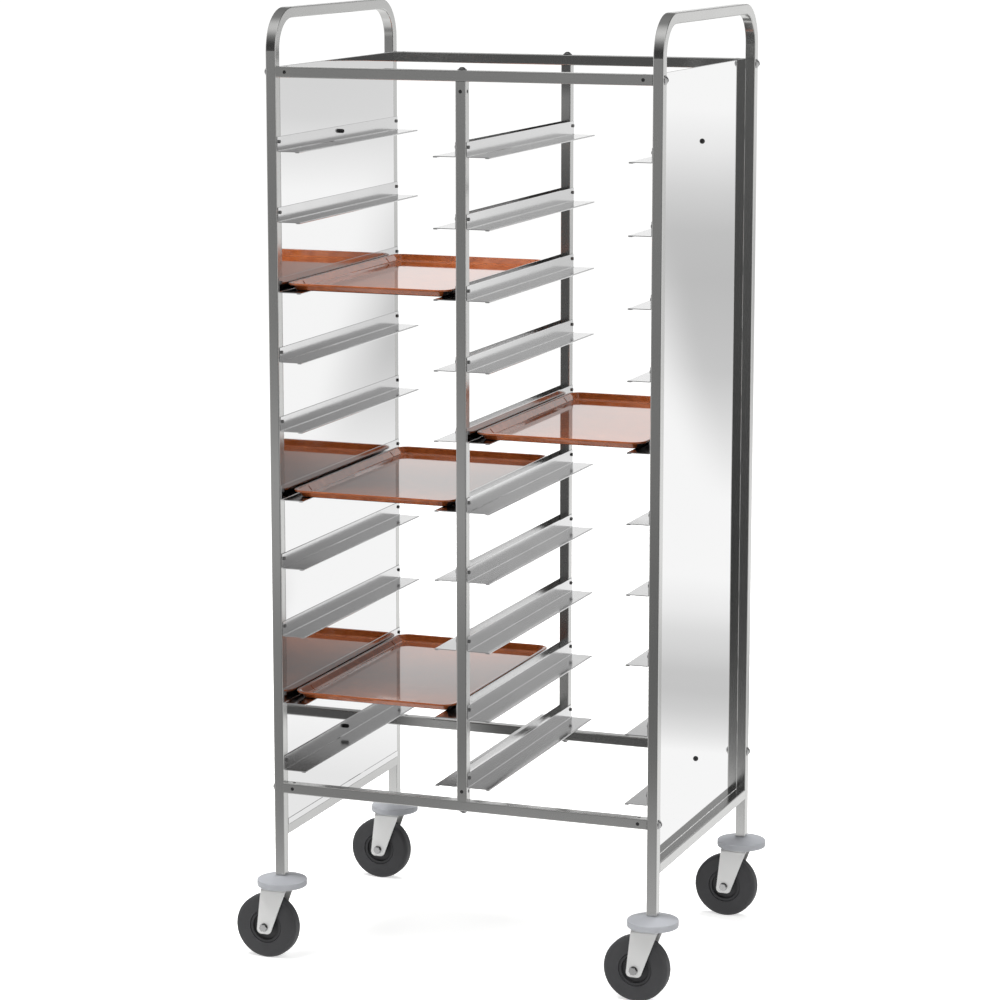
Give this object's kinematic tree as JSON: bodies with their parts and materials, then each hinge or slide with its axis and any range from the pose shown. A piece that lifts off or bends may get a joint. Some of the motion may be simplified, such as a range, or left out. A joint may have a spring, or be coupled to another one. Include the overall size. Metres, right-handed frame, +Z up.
{
  "type": "tray trolley",
  "caption": "Tall stainless tray trolley with two columns of runners, mirror side panels, push handles, brown trays and swivel casters with round bumpers.",
  "frame": {"origin": "on the floor, under the middle of the bounding box with the casters trailing towards -X", "axes": "+X to the right along the trolley seen from the front, +Y to the rear, +Z up"},
  "size_m": [0.8906, 0.666, 1.8175],
  "materials": {
    "satin_stainless_tube": "satin",
    "mirror_stainless_sheet": "mirror polished",
    "polished_stainless_strip": "semi polished",
    "stainless_fixings": "bright",
    "dark_plastic": "matt",
    "grey_bumper_rubber": "matt",
    "bright_zinc_steel": "bright zinc plate",
    "dark_hub_plastic": "matt",
    "grey_tyre_rubber": "matt",
    "brown_tray_plastic": "glossy"
  },
  "bodies": {
    "root": {"bumper_front_left": "grey_bumper_rubber", "bumper_front_right": "grey_bumper_rubber", "bumper_rear_left": "grey_bumper_rubber", "bumper_rear_right": "grey_bumper_rubber", "caster_stem_front_left": "bright_zinc_steel", "caster_stem_front_right": "bright_zinc_steel", "caster_stem_rear_left": "bright_zinc_steel", "caster_stem_rear_right": "bright_zinc_steel", "centre_left_runners": "polished_stainless_strip", "centre_right_runners": "polished_stainless_strip", "front_bottom_rail": "satin_stainless_tube", "front_centre_post": "satin_stainless_tube", "front_top_rail": "satin_stainless_tube", "left_bottom_rail": "satin_stainless_tube", "left_side_frame": "satin_stainless_tube", "left_side_panel": "mirror_stainless_sheet", "left_wall_runners": "polished_stainless_strip", "leg_sockets": "dark_plastic", "panel_cap_nuts": "dark_plastic", "panel_screws": "stainless_fixings", "post_bolts": "stainless_fixings", "rail_bolts": "stainless_fixings", "rear_bottom_rail": "satin_stainless_tube", "rear_centre_post": "satin_stainless_tube", "rear_top_rail": "satin_stainless_tube", "right_bottom_rail": "satin_stainless_tube", "right_side_frame": "satin_stainless_tube", "right_side_panel": "mirror_stainless_sheet", "right_wall_runners": "polished_stainless_strip", "runner_screws": "stainless_fixings", "tube_end_plugs": "dark_plastic"},
    "fork_front_left": {"caster_fork_front_left": "bright_zinc_steel", "swivel_bearing_front_left": "bright_zinc_steel", "axle_bolt_front_left": "bright_zinc_steel", "axle_spacer_front_left": "bright_zinc_steel"},
    "wheel_front_left": {"wheel_hub_front_left": "dark_hub_plastic", "wheel_tyre_front_left": "grey_tyre_rubber"},
    "fork_front_right": {"caster_fork_front_right": "bright_zinc_steel", "swivel_bearing_front_right": "bright_zinc_steel", "axle_bolt_front_right": "bright_zinc_steel", "axle_spacer_front_right": "bright_zinc_steel"},
    "wheel_front_right": {"wheel_hub_front_right": "dark_hub_plastic", "wheel_tyre_front_right": "grey_tyre_rubber"},
    "fork_rear_left": {"caster_fork_rear_left": "bright_zinc_steel", "swivel_bearing_rear_left": "bright_zinc_steel", "axle_bolt_rear_left": "bright_zinc_steel", "axle_spacer_rear_left": "bright_zinc_steel"},
    "wheel_rear_left": {"wheel_hub_rear_left": "dark_hub_plastic", "wheel_tyre_rear_left": "grey_tyre_rubber"},
    "fork_rear_right": {"caster_fork_rear_right": "bright_zinc_steel", "swivel_bearing_rear_right": "bright_zinc_steel", "axle_bolt_rear_right": "bright_zinc_steel", "axle_spacer_rear_right": "bright_zinc_steel"},
    "wheel_rear_right": {"wheel_hub_rear_right": "dark_hub_plastic", "wheel_tyre_rear_right": "grey_tyre_rubber"},
    "tray_left_upper": {"tray_left_upper": "brown_tray_plastic"},
    "tray_left_middle": {"tray_left_middle": "brown_tray_plastic"},
    "tray_left_lower": {"tray_left_lower": "brown_tray_plastic"},
    "tray_right": {"tray_right": "brown_tray_plastic"}
  },
  "joints": [
    {"name": "swivel_front_left", "type": "hinge", "parent": "root", "child": "fork_front_left", "pos_m": [-0.35275, -0.285, 0.1411], "axis": [0, 0, 1], "continuous": true},
    {"name": "roll_front_left", "type": "hinge", "parent": "fork_front_left", "child": "wheel_front_left", "pos_m": [-0.38275, -0.285, 0.0625], "axis": [0, 1, 0], "continuous": true},
    {"name": "swivel_front_right", "type": "hinge", "parent": "root", "child": "fork_front_right", "pos_m": [0.39725, -0.285, 0.1411], "axis": [0, 0, 1], "continuous": true},
    {"name": "roll_front_right", "type": "hinge", "parent": "fork_front_right", "child": "wheel_front_right", "pos_m": [0.36725, -0.285, 0.0625], "axis": [0, 1, 0], "continuous": true},
    {"name": "swivel_rear_left", "type": "hinge", "parent": "root", "child": "fork_rear_left", "pos_m": [-0.35275, 0.285, 0.1411], "axis": [0, 0, 1], "continuous": true},
    {"name": "roll_rear_left", "type": "hinge", "parent": "fork_rear_left", "child": "wheel_rear_left", "pos_m": [-0.38275, 0.285, 0.0625], "axis": [0, 1, 0], "continuous": true},
    {"name": "swivel_rear_right", "type": "hinge", "parent": "root", "child": "fork_rear_right", "pos_m": [0.39725, 0.285, 0.1411], "axis": [0, 0, 1], "continuous": true},
    {"name": "roll_rear_right", "type": "hinge", "parent": "fork_rear_right", "child": "wheel_rear_right", "pos_m": [0.36725, 0.285, 0.0625], "axis": [0, 1, 0], "continuous": true},
    {"name": "tray_left_upper_slide", "type": "slide", "parent": "root", "child": "tray_left_upper", "axis": [0, -1, 0], "range_m": [-0.25, 0.25]},
    {"name": "tray_left_middle_slide", "type": "slide", "parent": "root", "child": "tray_left_middle", "axis": [0, -1, 0], "range_m": [-0.25, 0.25]},
    {"name": "tray_left_lower_slide", "type": "slide", "parent": "root", "child": "tray_left_lower", "axis": [0, -1, 0], "range_m": [-0.25, 0.25]},
    {"name": "tray_right_slide", "type": "slide", "parent": "root", "child": "tray_right", "axis": [0, -1, 0], "range_m": [-0.25, 0.25]}
  ]
}
